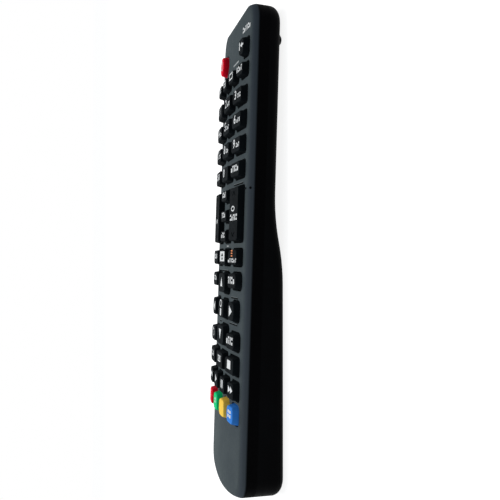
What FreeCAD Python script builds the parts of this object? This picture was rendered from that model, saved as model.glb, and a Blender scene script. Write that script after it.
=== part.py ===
"""A television remote control: two moulded case shells, a keypad of 46 keys on a
silicone mat, a circuit board, an infrared sender, two battery cells and a sliding
battery door.

Lengths are millimetres. The case is drawn in the frame of its key face: X across,
Y along towards the infrared end, Z out of the face, with Z = 0 on the crown line of
the face. The back of the battery end and two feet lie on the table, which leans the
face, so every piece drawn in that frame is then placed with the lean. The finished
part stands on Z = 0 with its origin under the middle of its box.
"""
import FreeCAD, Part
import math
import os
import re

import Sketcher

doc = FreeCAD.newDocument("Remote")
sheet = doc.addObject("Spreadsheet::Sheet", "Sizes")

SIZES = {
    # Case outline, seen from above
    "case_length": 188.0,
    "case_width": 46.0,
    "end_arc_radius": 58.0,
    "corner_radius": 8.0,
    "wall": 1.5,
    # Case cross section
    "crown_radius": 170.0,
    "shoulder_radius": 3.2,
    "nose_radius": 7.5,
    "upper_depth": 7.8,
    "waist_depth": 12.6,
    "back_edge_radius": 4.0,
    # Back of the case: the waist, the ramp and the battery end that lies on the table,
    # the ramp's ends measured from the battery end
    "rest_depth": 16.2,
    "rest_lean": 1.75,
    "ramp_top_reach": 115.0,
    "ramp_foot_reach": 81.0,
    # Joint between the shells
    "lip_height": 1.2,
    "lip_thickness": 0.8,
    "lip_gap": 0.1,
    # Feet: from the side and from the infrared end of the case, with a stepped dome
    "foot_margin": 6.0,
    "foot_reach": 15.2,
    "foot_root_radius": 2.7,
    "foot_shoulder_radius": 2.3,
    "foot_tip_radius": 1.3,
    "foot_root_height": 1.2,
    "foot_tip_height": 0.8,
    # Margins beside the rows of three and of four keys and the space between their keys
    "column_margin": 4.3,
    "column_space": 3.1,
    "quad_margin": 3.7,
    "quad_space": 3.0,
    "power_margin": 6.4,
    "source_margin": 3.7,
    # Keys: size of the base of each kind, measured where it leaves the case
    "key_length": 6.4,
    "low_key_length": 6.8,
    "quad_key_length": 5.2,
    "colour_key_length": 7.2,
    "centre_key_width": 9.2,
    "centre_key_length": 4.9,
    "rocker_length": 20.8,
    "cursor_key_width": 11.0,
    "cursor_key_length": 8.2,
    "side_cursor_width": 7.8,
    "side_cursor_length": 7.8,
    "ok_key_width": 9.2,
    "ok_key_length": 7.6,
    "power_key_size": 8.4,
    "source_key_width": 5.4,
    "source_key_length": 7.0,
    "key_corner": 0.7,
    "cursor_corner": 2.0,
    "colour_corner": 1.7,
    "source_corner": 1.4,
    "key_rise": 2.2,
    "key_draft": 11.0,
    "key_gap": 0.15,
    "key_travel": 0.7,
    "key_clearance": 0.05,
    "flange_overhang": 0.5,
    "flange_thickness": 0.5,
    "plunger_width": 2.6,
    "plunger_least": 0.06,
    "ear_length": 3.0,
    "rocker_clearance": 0.2,
    "chevron_side": 2.4,
    "chevron_stroke": 0.45,
    "chevron_depth": 0.35,
    "chevron_inset": 3.4,
    # Places of the keys along the face, measured from the infrared end
    "power_reach": 17.6,
    "source_reach": 19.1,
    "top_row_reach": 27.4,
    "number_row_reach": 36.6,
    "number_pitch": 9.25,
    "rocker_row_reach": 81.0,
    "centre_pitch": 7.95,
    "home_row_reach": 97.2,
    "menu_row_reach": 106.1,
    "up_reach": 107.3,
    "ok_reach": 117.4,
    "down_reach": 127.7,
    "exit_row_reach": 128.6,
    "stop_row_reach": 137.5,
    "play_row_reach": 146.4,
    "colour_row_reach": 155.1,
    # Mat and board under the keys, the board's ends measured from the infrared end
    "mat_thickness": 0.4,
    "mat_pad_height": 0.2,
    "mat_pad_width": 3.4,
    "mat_inset": 4.0,
    "board_thickness": 0.7,
    "board_edge_gap": 0.9,
    "board_reach": 12.0,
    "board_low_reach": 165.0,
    "seat_gap": 0.05,
    "peg_radius": 0.8,
    "peg_hole_gap": 0.1,
    "post_size": 3.0,
    "post_margin": 5.0,
    "post_inset": 12.0,
    "post_from_bay": 24.0,
    # Battery compartment: levels from the table, its end from the battery end
    "cell_radius": 5.1,
    "cell_length": 44.5,
    "cell_nub_radius": 1.9,
    "cell_nub_height": 1.0,
    "cell_pitch": 11.2,
    "cell_gap": 0.1,
    "contact_thickness": 0.4,
    "contact_size": 8.6,
    "spring_length": 3.3,
    "spring_radius": 3.0,
    "spring_wire": 0.6,
    "spring_turns": 2.5,
    "bay_reach": 55.6,
    "bay_side_gap": 0.9,
    "bay_wall": 1.2,
    "bay_height": 11.5,
    # Battery door, its length and its grip measured from the battery end
    "door_reach": 74.0,
    "door_skin": 1.2,
    "door_depth": 2.2,
    "door_gap": 0.15,
    "door_floor": 1.2,
    "recess_end": 6.0,
    "rail_margin": 5.5,
    "rail_thickness": 1.0,
    "rail_height": 4.4,
    "rail_rib": 0.7,
    "rail_gap": 0.15,
    "tab_across": 18.0,
    "tab_width": 5.0,
    "tab_length": 1.8,
    "tab_cover": 0.6,
    "grip_width": 14.0,
    "grip_reach": 16.0,
    "grip_pitch": 2.0,
    "grip_groove": 0.9,
    "grip_depth": 0.4,
    # Infrared sender, its rim measured from the infrared end
    "window_width": 18.0,
    "window_top_depth": 3.4,
    "window_gap": 0.1,
    "led_radius": 2.5,
    "led_rim_radius": 2.9,
    "led_rim_length": 1.0,
    "led_length": 5.4,
    "led_reach": 9.8,
    "led_drop": 1.1,
    "led_lead": 0.5,
    "led_lead_hold": 3.5,
    # Parts soldered under the board, each measured from the board's upper end
    "chip_size": 9.0,
    "chip_thickness": 1.2,
    "chip_inset": 24.0,
    "chip_leg": 0.4,
    "chip_leg_pitch": 1.6,
    "chip_leg_reach": 0.8,
    "capacitor_radius": 2.2,
    "capacitor_length": 8.0,
    "capacitor_inset": 16.0,
    "capacitor_lead": 2.6,
    "resonator_width": 5.0,
    "resonator_thickness": 2.0,
    "resonator_height": 3.2,
    "resonator_inset": 32.0,
}

for row, (alias, value) in enumerate(SIZES.items(), start=1):
    sheet.set(f"A{row}", alias.replace("_", " "))
    sheet.set(f"B{row}", str(value))
    sheet.setAlias(f"B{row}", alias)
doc.recompute()

GRIP_GROOVES = 5
CHIP_LEGS = 5
SPRING_SAMPLES = 200
# An edge that is shorter than this along the case stands upright
UPRIGHT = 0.01
parts = {}

# Columns of keys, spread over the width of the case
COLUMN_PITCH = "((case_width - 2 * column_margin + column_space) / 3)"
QUAD_PITCH = "((case_width - 2 * quad_margin + quad_space) / 4)"
KEY_WIDTH = f"({COLUMN_PITCH} - column_space)"
QUAD_KEY_WIDTH = f"({QUAD_PITCH} - quad_space)"



def from_heel(reach):
    """A place along the case, measured from its battery end."""
    return f"({reach} - case_length / 2)"


def from_nose(reach):
    """A place along the case, measured from its infrared end."""
    return f"(case_length / 2 - {reach})"


RAMP_TOP = from_heel("ramp_top_reach")
RAMP_FOOT = from_heel("ramp_foot_reach")
BAY_TOP = from_heel("bay_reach")
DOOR_TOP = from_heel("door_reach")
BOARD_TOP = from_nose("board_reach")
BOARD_LOW = from_nose("board_low_reach")
LED_ALONG = from_nose("led_reach")
ROCKERS = from_nose("rocker_row_reach")
OK_ROW = from_nose("ok_reach")
MENU_ROW = from_nose("menu_row_reach")
EXIT_ROW = from_nose("exit_row_reach")
TOP_ROW = from_nose("top_row_reach")
COLOUR_ROW = from_nose("colour_row_reach")


def size(formula):
    """The value of a formula in the sheet's words, for geometry that is placed by code."""
    return float(sheet.evalExpression(full(formula)))


def full(formula):
    """A formula written with bare aliases, as the sheet's own words for expressions."""
    words = re.split(r"([A-Za-z_][A-Za-z_0-9]*)", str(formula))
    return "".join(f"Sizes.{word}" if word in SIZES else word for word in words)


def bind(thing, **formulas):
    """Ties properties of an object to the sheet."""
    for name, formula in formulas.items():
        thing.setExpression(name, full(formula))


def place(thing, across="0", along="0", up="0"):
    """Ties the position of an object to the sheet."""
    thing.setExpression("Placement.Base.x", full(across))
    thing.setExpression("Placement.Base.y", full(along))
    thing.setExpression("Placement.Base.z", full(up))


# The lean moves the middle of the part's box along Y. At the infrared end the box ends
# at the foot of the rounded nose, at the battery end where the back rounding starts.
NOSE_FOOT = "(rest_depth - nose_radius)"
HEEL_START = "(back_edge_radius - case_length / 2 * tan(rest_lean))"
CENTRE_SHIFT = f"({NOSE_FOOT} + {HEEL_START}) * sin(rest_lean) / 2"


def lean(thing):
    """Places an object drawn in the frame of the face into the standing part."""
    thing.Placement.Rotation = FreeCAD.Rotation(FreeCAD.Vector(1, 0, 0), -1)
    thing.setExpression("Placement.Rotation.Angle", full("-rest_lean"))
    place(thing, "0", f"rest_depth * sin(rest_lean) - {CENTRE_SHIFT}", "rest_depth * cos(rest_lean)")
    return thing


def box(name, width, length, height, across="0", along="0", up="0"):
    """A block centred across and along, standing on the height given."""
    block = doc.addObject("Part::Box", name)
    bind(block, Length=width, Width=length, Height=height)
    place(block, f"{across} - ({width}) / 2", f"{along} - ({length}) / 2", up)
    return block


def cylinder(name, radius, height, direction, across="0", along="0", up="0"):
    """A round bar that starts at the point given and runs along the direction."""
    bar = doc.addObject("Part::Cylinder", name)
    bar.Placement.Rotation = FreeCAD.Rotation(FreeCAD.Vector(0, 0, 1), FreeCAD.Vector(*direction))
    bind(bar, Radius=radius, Height=height)
    place(bar, across, along, up)
    return bar


def fuse(name, pieces):
    joined = doc.addObject("Part::MultiFuse", name)
    joined.Shapes = pieces
    joined.Refine = True
    return joined


def cut(name, base, tool):
    trimmed = doc.addObject("Part::Cut", name)
    trimmed.Base = base
    trimmed.Tool = tool
    trimmed.Refine = True
    return trimmed


def common(name, base, tool):
    shared = doc.addObject("Part::Common", name)
    shared.Base = base
    shared.Tool = tool
    shared.Refine = True
    return shared


def keep(node, thing):
    """Names a finished sub-part."""
    thing.Label = node
    parts[node] = thing
    return thing


def origin_plane(body, role):
    return next(item for item in body.Origin.OriginFeatures if item.Role == role)


def add_size(sketch, name, formula, *constraint):
    """Adds a dimension to a sketch, names it and ties it to the sheet."""
    index = sketch.addConstraint(Sketcher.Constraint(*constraint))
    sketch.renameConstraint(index, name)
    sketch.setExpression(f"Constraints.{name}", full(formula))


def rounded_rectangle(sketch, width, length, corner):
    """A rectangle with round corners about the sketch's origin."""
    radius = size(corner)
    inner_x = size(f"({width}) / 2") - radius
    inner_y = size(f"({length}) / 2") - radius
    arcs = []
    for quarter, (side_x, side_y) in enumerate([(1, 1), (-1, 1), (-1, -1), (1, -1)]):
        centre = FreeCAD.Vector(side_x * inner_x, side_y * inner_y, 0)
        circle = Part.Circle(centre, FreeCAD.Vector(0, 0, 1), radius)
        begin = quarter * math.pi / 2
        arcs.append(sketch.addGeometry(Part.ArcOfCircle(circle, begin, begin + math.pi / 2)))
    lines = []
    for arc, following in zip(arcs, arcs[1:] + arcs[:1]):
        ends = sketch.getPoint(arc, 2), sketch.getPoint(following, 1)
        line = sketch.addGeometry(Part.LineSegment(*ends))
        sketch.addConstraint(Sketcher.Constraint("Tangent", arc, 2, line, 1))
        sketch.addConstraint(Sketcher.Constraint("Tangent", line, 2, following, 1))
        lines.append(line)
    for arc in arcs[1:]:
        sketch.addConstraint(Sketcher.Constraint("Equal", arcs[0], arc))
    sketch.addConstraint(Sketcher.Constraint("Horizontal", lines[0]))
    sketch.addConstraint(Sketcher.Constraint("Vertical", lines[1]))
    sketch.addConstraint(Sketcher.Constraint("Symmetric", arcs[0], 3, arcs[2], 3, -1, 1))
    add_size(sketch, "corner", corner, "Radius", arcs[0], radius)
    straight = f"({width}) / 2 - ({corner})", f"({length}) / 2 - ({corner})"
    add_size(sketch, "straight_x", straight[0], "DistanceX", -1, 1, arcs[0], 3, inner_x)
    add_size(sketch, "straight_y", straight[1], "DistanceY", -1, 1, arcs[0], 3, inner_y)


def case_outline(sketch, inset):
    """The case seen from above: straight sides, shallow round ends and round corners."""
    half_width = size(f"case_width / 2 - ({inset})")
    corner = size(f"corner_radius - ({inset})")
    end = size(f"end_arc_radius - ({inset})")
    end_centre = size("case_length / 2 - end_arc_radius")
    corner_x = half_width - corner
    corner_y = end_centre + math.sqrt((end - corner) ** 2 - corner_x ** 2)
    turn = math.atan2(corner_y - end_centre, corner_x)
    normal = FreeCAD.Vector(0, 0, 1)

    def arc(x, y, radius, begin, finish):
        circle = Part.Circle(FreeCAD.Vector(x, y, 0), normal, radius)
        return sketch.addGeometry(Part.ArcOfCircle(circle, begin, finish))

    half_turn = math.pi
    right_top = arc(corner_x, corner_y, corner, 0, turn)
    top = arc(0, end_centre, end, turn, half_turn - turn)
    left_top = arc(-corner_x, corner_y, corner, half_turn - turn, half_turn)
    left_low = arc(-corner_x, -corner_y, corner, half_turn, half_turn + turn)
    low = arc(0, -end_centre, end, half_turn + turn, 2 * half_turn - turn)
    right_low = arc(corner_x, -corner_y, corner, 2 * half_turn - turn, 2 * half_turn)
    left_ends = sketch.getPoint(left_top, 2), sketch.getPoint(left_low, 1)
    left = sketch.addGeometry(Part.LineSegment(*left_ends))
    right_ends = sketch.getPoint(right_low, 2), sketch.getPoint(right_top, 1)
    right = sketch.addGeometry(Part.LineSegment(*right_ends))
    loop = [right_top, top, left_top, left, left_low, low, right_low, right]
    for before, after in zip(loop, loop[1:] + loop[:1]):
        sketch.addConstraint(Sketcher.Constraint("Tangent", before, 2, after, 1))
    for other in (left_top, left_low, right_low):
        sketch.addConstraint(Sketcher.Constraint("Equal", right_top, other))
    sketch.addConstraint(Sketcher.Constraint("Equal", top, low))
    sketch.addConstraint(Sketcher.Constraint("Symmetric", right_top, 3, left_low, 3, -1, 1))
    sketch.addConstraint(Sketcher.Constraint("PointOnObject", top, 3, -2))
    add_size(sketch, "corner", f"corner_radius - ({inset})", "Radius", right_top, corner)
    add_size(sketch, "end_arc", f"end_arc_radius - ({inset})", "Radius", top, end)
    centre = "case_length / 2 - end_arc_radius"
    add_size(sketch, "end_centre", centre, "DistanceY", -1, 1, top, 3, end_centre)
    sideways = "case_width / 2 - corner_radius"
    add_size(sketch, "corner_x", sideways, "DistanceX", -1, 1, right_top, 3, corner_x)


def outline_prism(name, inset, low, height):
    """A block with the case's outline, between two depths."""
    body = doc.addObject("PartDesign::Body", name)
    sketch = body.newObject("Sketcher::SketchObject", f"{name}_outline")
    sketch.AttachmentSupport = (origin_plane(body, "XY_Plane"), "")
    sketch.MapMode = "FlatFace"
    sketch.setExpression("AttachmentOffset.Base.z", full(low))
    case_outline(sketch, inset)
    pad = body.newObject("PartDesign::Pad", f"{name}_pad")
    pad.Profile = sketch
    bind(pad, Length=height)
    return body


def softened(name, solid, wanted, radius=None, chamfer=None):
    """The solid with the edges that pass the test rounded, or chamfered."""
    body = doc.addObject("PartDesign::Body", name)
    body.BaseFeature = solid
    doc.recompute([body])
    base = body.Tip
    names = [f"Edge{i}" for i, edge in enumerate(base.Shape.Edges, start=1) if wanted(edge)]
    if radius:
        edge_work = body.newObject("PartDesign::Fillet", f"{name}_fillet")
        bind(edge_work, Radius=radius)
    else:
        edge_work = body.newObject("PartDesign::Chamfer", f"{name}_chamfer")
        bind(edge_work, Size=chamfer)
    edge_work.Base = (base, names)
    return body


def rim_edge(low, high):
    """A test for edges that run round the case between two depths."""

    def wanted(edge):
        bounds = edge.BoundBox
        return bounds.YLength > UPRIGHT and bounds.ZMin > low and bounds.ZMax < high

    return wanted


def upper_solid(name, inset, **edges):
    """The upper shell as a full block, its walls moved in by the inset."""
    prism = outline_prism(f"{name}_prism", inset, "-upper_depth", "upper_depth + wall")
    crown = cylinder(
        f"{name}_crown",
        f"crown_radius - ({inset})",
        "case_length * 2",
        (0, 1, 0),
        along="-case_length",
        up="-crown_radius",
    )
    block = common(f"{name}_block", prism, crown)
    rim = rim_edge(size("-upper_depth + wall"), size("wall"))
    shoulder = softened(f"{name}_shoulder", block, rim, **edges)
    corner = box(
        f"{name}_nose_corner",
        "case_width + 2 * wall",
        "nose_radius * 2",
        "nose_radius * 2",
        along="case_length / 2",
        up="-nose_radius",
    )
    nose = cylinder(
        f"{name}_nose_bar",
        f"nose_radius - ({inset})",
        "case_width + 4 * wall",
        (1, 0, 0),
        across="-case_width / 2 - 2 * wall",
        along="case_length / 2 - nose_radius",
        up="-nose_radius",
    )
    outside = cut(f"{name}_nose_waste", corner, nose)
    return cut(name, shoulder, outside)


def back_profile(name, inset):
    """A block across the case between the key face and its stepped back: a flat waist,
    two tangent arcs down the ramp, and the battery end that lies on the table."""
    lean_angle = math.radians(size("rest_lean"))
    waist = size(f"-waist_depth + ({inset})")
    rest = size(f"-rest_depth + ({inset}) / cos(rest_lean)")
    reach = size("case_length / 2 + wall")
    foot_along = size(RAMP_FOOT)
    start = FreeCAD.Vector(size(RAMP_TOP), waist, 0)
    foot = FreeCAD.Vector(foot_along, rest + foot_along * math.tan(lean_angle), 0)
    heel = FreeCAD.Vector(-reach, rest - reach * math.tan(lean_angle), 0)
    inward = FreeCAD.Vector(-math.sin(lean_angle), math.cos(lean_angle), 0)
    down = FreeCAD.Vector(0, -1, 0)

    # Both arcs have the one radius that makes the distance of their centres twice itself.
    span = start - foot
    spread = down - inward
    square = spread.dot(spread) - 4
    linear = 2 * span.dot(spread)
    root = math.sqrt(linear ** 2 - 4 * square * span.dot(span))
    radius = 2 * span.dot(span) / (root - linear)
    waist_centre = start + down * radius
    heel_centre = foot + inward * radius
    meeting = (waist_centre + heel_centre) * 0.5

    body = doc.addObject("PartDesign::Body", name)
    sketch = body.newObject("Sketcher::SketchObject", f"{name}_line")
    sketch.AttachmentSupport = (origin_plane(body, "YZ_Plane"), "")
    sketch.MapMode = "FlatFace"
    normal = FreeCAD.Vector(0, 0, 1)

    def arc(centre, begin, finish):
        angles = [math.atan2(*reversed((point - centre)[:2])) for point in (begin, finish)]
        return sketch.addGeometry(Part.ArcOfCircle(Part.Circle(centre, normal, radius), *angles))

    def line(begin, finish):
        return sketch.addGeometry(Part.LineSegment(begin, finish))

    heel_top = FreeCAD.Vector(-reach, size("wall"), 0)
    nose_top = FreeCAD.Vector(reach, size("wall"), 0)
    nose_low = FreeCAD.Vector(reach, waist, 0)
    waist_line = line(nose_low, start)
    waist_arc = arc(waist_centre, start, meeting)
    heel_arc = arc(heel_centre, foot, meeting)
    slope = line(foot, heel)
    end_wall = line(heel, heel_top)
    lid = line(heel_top, nose_top)
    nose_wall = line(nose_top, nose_low)
    tangent = "Tangent"
    sketch.addConstraint(Sketcher.Constraint(tangent, waist_line, 2, waist_arc, 1))
    sketch.addConstraint(Sketcher.Constraint(tangent, waist_arc, 2, heel_arc, 2))
    sketch.addConstraint(Sketcher.Constraint(tangent, heel_arc, 1, slope, 1))
    for before, after in ((slope, end_wall), (end_wall, lid), (lid, nose_wall)):
        sketch.addConstraint(Sketcher.Constraint("Coincident", before, 2, after, 1))
    sketch.addConstraint(Sketcher.Constraint("Coincident", nose_wall, 2, waist_line, 1))
    sketch.addConstraint(Sketcher.Constraint("Equal", waist_arc, heel_arc))
    sketch.addConstraint(Sketcher.Constraint("Horizontal", waist_line))
    sketch.addConstraint(Sketcher.Constraint("Vertical", end_wall))
    sketch.addConstraint(Sketcher.Constraint("Horizontal", lid))
    sketch.addConstraint(Sketcher.Constraint("Vertical", nose_wall))
    add_size(sketch, "ramp_top", RAMP_TOP, "DistanceX", -1, 1, waist_line, 2, start.x)
    pad = body.newObject("PartDesign::Pad", f"{name}_pad")
    pad.Profile = sketch
    pad.SideType = "Symmetric"
    bind(pad, Length="case_width * 2")
    return body


def lower_solid(name, inset, top, **edges):
    """The lower shell as a full block, its walls moved in by the inset."""
    depth = "rest_depth + case_length * tan(rest_lean)"
    prism = outline_prism(f"{name}_prism", inset, f"-({depth})", f"{depth} + ({top})")
    profile = back_profile(f"{name}_profile", inset)
    block = common(f"{name}_block", prism, profile)
    rim = rim_edge(size("-case_length"), size("-upper_depth - wall"))
    return softened(name, block, rim, **edges)


# The keys: node, place across and along the face, width, length, corner and form. The
# corner is a chamfer on plain keys and rockers and a radius on the soft-edged ones.
KEY = (KEY_WIDTH, "key_length", "key_corner", "plain")
LOW_KEY = (KEY_WIDTH, "low_key_length", "key_corner", "plain")
QUAD_KEY = (QUAD_KEY_WIDTH, "quad_key_length", "key_corner", "plain")
PLAY_KEY = (QUAD_KEY_WIDTH, "low_key_length", "key_corner", "plain")
COLOUR_KEY = (QUAD_KEY_WIDTH, "colour_key_length", "colour_corner", "soft")
CENTRE_KEY = ("centre_key_width", "centre_key_length", "key_corner", "plain")
ROCKER = (KEY_WIDTH, "rocker_length", "key_corner", "rocker")
MENU_KEY = (KEY_WIDTH, "key_length", "cursor_corner", "soft")
EXIT_KEY = (KEY_WIDTH, "low_key_length", "cursor_corner", "soft")
CURSOR = ("cursor_key_width", "cursor_key_length", "cursor_corner", "soft")
SIDE_CURSOR = ("side_cursor_width", "side_cursor_length", "cursor_corner", "soft")
OK_KEY = ("ok_key_width", "ok_key_length", "cursor_corner", "soft")
POWER = ("power_key_size", "power_key_size", "cursor_corner", "round")
SOURCE = ("source_key_width", "source_key_length", "source_corner", "soft")


def key_row(names, pitch, along, kind):
    """One row of keys, evenly spaced about the middle of the case."""
    first = -(len(names) - 1) / 2
    return [(name, f"{first + i} * {pitch}", along, kind) for i, name in enumerate(names)]


def number_row(row):
    return f"({from_nose('number_row_reach')} - {row} * number_pitch)"


KEYS = [
    (
        "key_power",
        "power_margin + power_key_size / 2 - case_width / 2",
        from_nose("power_reach"),
        POWER,
    ),
    (
        "key_source",
        "case_width / 2 - source_margin - source_key_width / 2",
        from_nose("source_reach"),
        SOURCE,
    ),
    *key_row(
        ["key_subtitle", "key_text", "key_picture", "key_sleep"],
        QUAD_PITCH,
        TOP_ROW,
        QUAD_KEY,
    ),
    *key_row(["key_1", "key_2", "key_3"], COLUMN_PITCH, number_row(0), KEY),
    *key_row(["key_4", "key_5", "key_6"], COLUMN_PITCH, number_row(1), KEY),
    *key_row(["key_7", "key_8", "key_9"], COLUMN_PITCH, number_row(2), KEY),
    *key_row(["key_list", "key_0", "key_recall"], COLUMN_PITCH, number_row(3), KEY),
    ("rocker_volume", f"-{COLUMN_PITCH}", ROCKERS, ROCKER),
    ("rocker_channel", COLUMN_PITCH, ROCKERS, ROCKER),
    ("key_mute", "0", f"{ROCKERS} + centre_pitch", CENTRE_KEY),
    ("key_favourite", "0", ROCKERS, CENTRE_KEY),
    ("key_guide", "0", f"{ROCKERS} - centre_pitch", CENTRE_KEY),
    *key_row(
        ["key_settings", "key_home", "key_tools"],
        COLUMN_PITCH,
        from_nose("home_row_reach"),
        KEY,
    ),
    ("key_menu", f"-{COLUMN_PITCH}", MENU_ROW, MENU_KEY),
    ("key_info", COLUMN_PITCH, MENU_ROW, MENU_KEY),
    ("key_up", "0", from_nose("up_reach"), CURSOR),
    ("key_left", f"-{COLUMN_PITCH}", OK_ROW, SIDE_CURSOR),
    ("key_ok", "0", OK_ROW, OK_KEY),
    ("key_right", COLUMN_PITCH, OK_ROW, SIDE_CURSOR),
    ("key_down", "0", from_nose("down_reach"), CURSOR),
    ("key_back", f"-{COLUMN_PITCH}", EXIT_ROW, EXIT_KEY),
    ("key_exit", COLUMN_PITCH, EXIT_ROW, EXIT_KEY),
    *key_row(
        ["key_audio", "key_aspect", "key_stop"],
        COLUMN_PITCH,
        from_nose("stop_row_reach"),
        LOW_KEY,
    ),
    *key_row(
        ["key_rewind", "key_play", "key_pause", "key_forward"],
        QUAD_PITCH,
        from_nose("play_row_reach"),
        PLAY_KEY,
    ),
    *key_row(
        ["key_red", "key_green", "key_yellow", "key_blue"],
        QUAD_PITCH,
        COLOUR_ROW,
        COLOUR_KEY,
    ),
]


def crown_drop(across):
    """How far the crown has fallen at a distance from its middle line."""
    return f"(crown_radius - sqrt(crown_radius ^ 2 - ({across}) ^ 2))"


# The key tops share one crown, at their rise above the face
TOP_RADIUS = "(crown_radius + key_rise)"

# The mat lies as deep as the rockers at the sides of the crown need to tilt and press
ROCKER_REACH = f"({COLUMN_PITCH} + {KEY_WIDTH} / 2 + flange_overhang)"
ROCKER_ROOM = "(wall + flange_thickness + rocker_clearance + 2 * key_clearance)"
MAT_ROOM = "(plunger_least + key_travel + mat_pad_height)"
MAT_TOP = f"(-({crown_drop(ROCKER_REACH)} + {ROCKER_ROOM} + {MAT_ROOM}))"


def key_block(name, kind, foot_width, foot_length, height, slope, gap="0"):
    """A block about the origin with its height along Y, whose sides lean in by the slope
    and meet in round or chamfered corners."""
    corner, form = kind[2:]
    half_width = f"({foot_width}) / 2"
    half_length = f"({foot_length}) / 2"
    block = doc.addObject("Part::Wedge", f"{name}_wedge")
    bind(
        block,
        Xmin=f"-{half_width}",
        Xmax=half_width,
        Zmin=f"-{half_length}",
        Zmax=half_length,
        Ymin="0",
        Ymax=height,
        X2min=f"{height} * {slope} - {half_width}",
        X2max=f"{half_width} - {height} * {slope}",
        Z2min=f"{height} * {slope} - {half_length}",
        Z2max=f"{half_length} - {height} * {slope}",
    )
    if form == "soft":
        return softened(name, block, side_edge, radius=f"{corner} + {gap}")
    return softened(name, block, side_edge, chamfer=f"{corner} + {gap} / 2")


def side_edge(edge):
    """A test for the edges between the sides of a block whose height is along Y."""
    return edge.BoundBox.YLength > size("wall")


def key_top_block(name, across, along):
    """A block whose top face touches the crown of the key tops at the middle of a key."""
    side = f"(({across}) / {TOP_RADIUS})"
    upright = f"sqrt(1 - {side} ^ 2)"
    block = doc.addObject("Part::Box", name)
    bind(block, Length="case_width", Width="case_width", Height="case_width")
    block.Placement.Rotation = FreeCAD.Rotation(FreeCAD.Vector(0, 1, 0), 1)
    block.setExpression("Placement.Rotation.Angle", full(f"asin({side})"))
    place(
        block,
        f"{across} - case_width * ({upright} / 2 + {side})",
        f"{along} - case_width / 2",
        f"{TOP_RADIUS} * {upright} - crown_radius - case_width * ({upright} - {side} / 2)",
    )
    return block


def chevrons(name, across, along):
    """The two recessed signs near the ends of a rocker's top, each what is left of a
    block on its corner when the same block is moved away from the rocker's end."""
    level = f"(sqrt({TOP_RADIUS} ^ 2 - ({across}) ^ 2) - crown_radius - chevron_depth)"
    signs = []
    for side in (1, -1):
        blocks = []
        middle = f"{along} + {side} * (rocker_length / 2 - chevron_inset)"
        for number, shift in enumerate(("0", "chevron_stroke * sqrt(2)")):
            block = doc.addObject("Part::Box", f"{name}_{side + 1}_{number}")
            bind(block, Length="chevron_side", Width="chevron_side", Height="key_rise")
            block.Placement.Rotation = FreeCAD.Rotation(FreeCAD.Vector(0, 0, 1), 45)
            low_corner = f"{middle} - chevron_side / sqrt(2) - {side} * {shift}"
            place(block, across, low_corner, level)
            blocks.append(block)
        signs.append(cut(f"{name}_{side + 1}", *blocks))
    return fuse(name, signs)


def cap_and_hole(node, across, along, kind, root):
    """The tapered cap of a key and the hole that it moves in."""
    width, length, corner, form = kind
    slope = "tan(key_draft)"
    foot_width = f"({width} + 2 * wall * {slope})"
    foot_length = f"({length} + 2 * wall * {slope})"
    cap_height = f"(key_rise + wall - {root})"
    hole_height = f"(wall - {root})"
    names = f"{node}_cap", f"{node}_hole"
    if form == "round":
        foot = f"{foot_width} / 2"
        cap = doc.addObject("Part::Cone", names[0])
        bind(cap, Radius1=foot, Radius2=f"{foot} - {cap_height} * {slope}", Height=cap_height)
        place(cap, across, along, root)
        hole = cylinder(names[1], f"{foot} + key_gap", hole_height, (0, 0, 1), across, along, root)
        return cap, hole, foot_width, foot_length
    room = f"{foot_width} + 2 * key_gap", f"{foot_length} + 2 * key_gap"
    cap = key_block(names[0], kind, foot_width, foot_length, cap_height, slope)
    hole = key_block(names[1], kind, *room, hole_height, "0", "key_gap")
    for block in (cap, hole):
        block.Placement.Rotation = FreeCAD.Rotation(FreeCAD.Vector(1, 0, 0), 90)
        place(block, across, along, root)
    return cap, hole, foot_width, foot_length


def build_key(node, across, along, kind):
    """A key cap that tapers to a top which leans with the crown, on a flange that holds it
    under the case, with a plunger over its switch. A rocker has an ear at each side and
    two plungers instead. Returns the key, its hole in the case and its mat pads."""
    rocks = kind[-1] == "rocker"
    reach = f"(abs({across}) + ({kind[0]}) / 2 + flange_overhang)"
    root = f"(-({crown_drop(reach)}) - wall - key_clearance)"
    cap, hole, foot_width, foot_length = cap_and_hole(node, across, along, kind, root)
    top = common(f"{node}_trimmed", cap, key_top_block(f"{node}_top_block", across, along))

    neck = "rocker_clearance" if rocks else "0"
    flange_low = f"({root} - {neck} - flange_thickness)"
    flange_length = "ear_length" if rocks else f"{foot_length} + 2 * flange_overhang"
    flange = box(
        f"{node}_flange",
        f"{foot_width} + 2 * flange_overhang",
        flange_length,
        "flange_thickness",
        across,
        along,
        flange_low,
    )
    body_pieces = [top, flange]
    ends = [along]
    if rocks:
        neck_block = box(
            f"{node}_neck",
            f"{foot_width} - 2 * key_corner",
            f"{foot_length} - 2 * key_corner",
            f"flange_thickness + {neck}",
            across,
            along,
            flange_low,
        )
        marked = cut(f"{node}_marked", top, chevrons(f"{node}_chevrons", across, along))
        body_pieces = [marked, flange, neck_block]
        ends = [f"{along} + {side} * rocker_length / 3" for side in (1, -1)]

    tip = f"({MAT_TOP} + mat_pad_height + key_travel + key_clearance)"
    stem = "plunger_width", "plunger_width", f"{flange_low} - {tip} + seat_gap"
    for number, end in enumerate(ends):
        body_pieces.append(box(f"{node}_stem_{number}", *stem, across, end, tip))
    keep(node, lean(fuse(f"{node}_solid", body_pieces)))

    pads = [
        box(
            f"{node}_pad_{number}",
            "mat_pad_width",
            "mat_pad_width",
            "mat_pad_height + mat_thickness / 2",
            across,
            end,
            f"{MAT_TOP} - mat_thickness / 2",
        )
        for number, end in enumerate(ends)
    ]
    return hole, pads


holes = []
mat_pads = []
for entry in KEYS:
    hole, pads = build_key(*entry)
    holes.append(hole)
    mat_pads += pads


# The chamfer that lies on the middle of a round, as a share of the round's radius
CHAMFER_SHARE = "(2 - sqrt(2))"

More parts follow.
